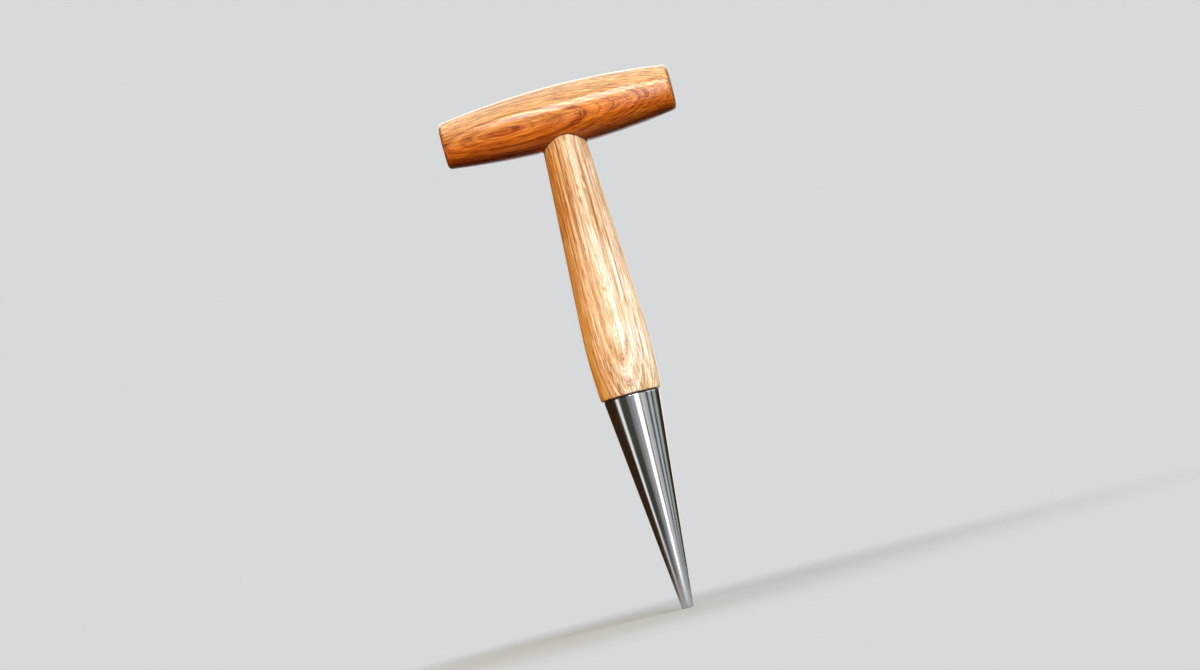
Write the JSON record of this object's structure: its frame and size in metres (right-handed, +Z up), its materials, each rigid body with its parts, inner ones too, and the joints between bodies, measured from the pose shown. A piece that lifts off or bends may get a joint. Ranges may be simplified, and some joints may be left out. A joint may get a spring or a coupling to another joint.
{
  "type": "dibber",
  "caption": "Hand dibber with a barrel-shaped wooden crossbar, a tapered wooden shaft and a long hollow steel point, for making planting holes in soil.",
  "frame": {"origin": "centre of the flat end of the steel point's tip", "axes": "+Z up the shaft to the crossbar, +X along the crossbar, +Y to the back, where the dowel and the screw go in"},
  "size_m": [0.123, 0.0342, 0.28],
  "materials": {
    "bar_wood": "oiled and lacquered ash, amber",
    "shaft_wood": "oiled and lacquered ash, honey",
    "point_steel": "polished along its length",
    "plug_steel": "ground flush at the tip",
    "dowel_wood": "end grain, sanded flush",
    "screw_steel": "plain stainless"
  },
  "bodies": {
    "root": {"crossbar": "bar_wood", "shaft": "shaft_wood", "point_shell": "point_steel", "nose_plug": "plug_steel", "tenon_dowel": "dowel_wood", "socket_screw": "screw_steel"}
  },
  "joints": []
}
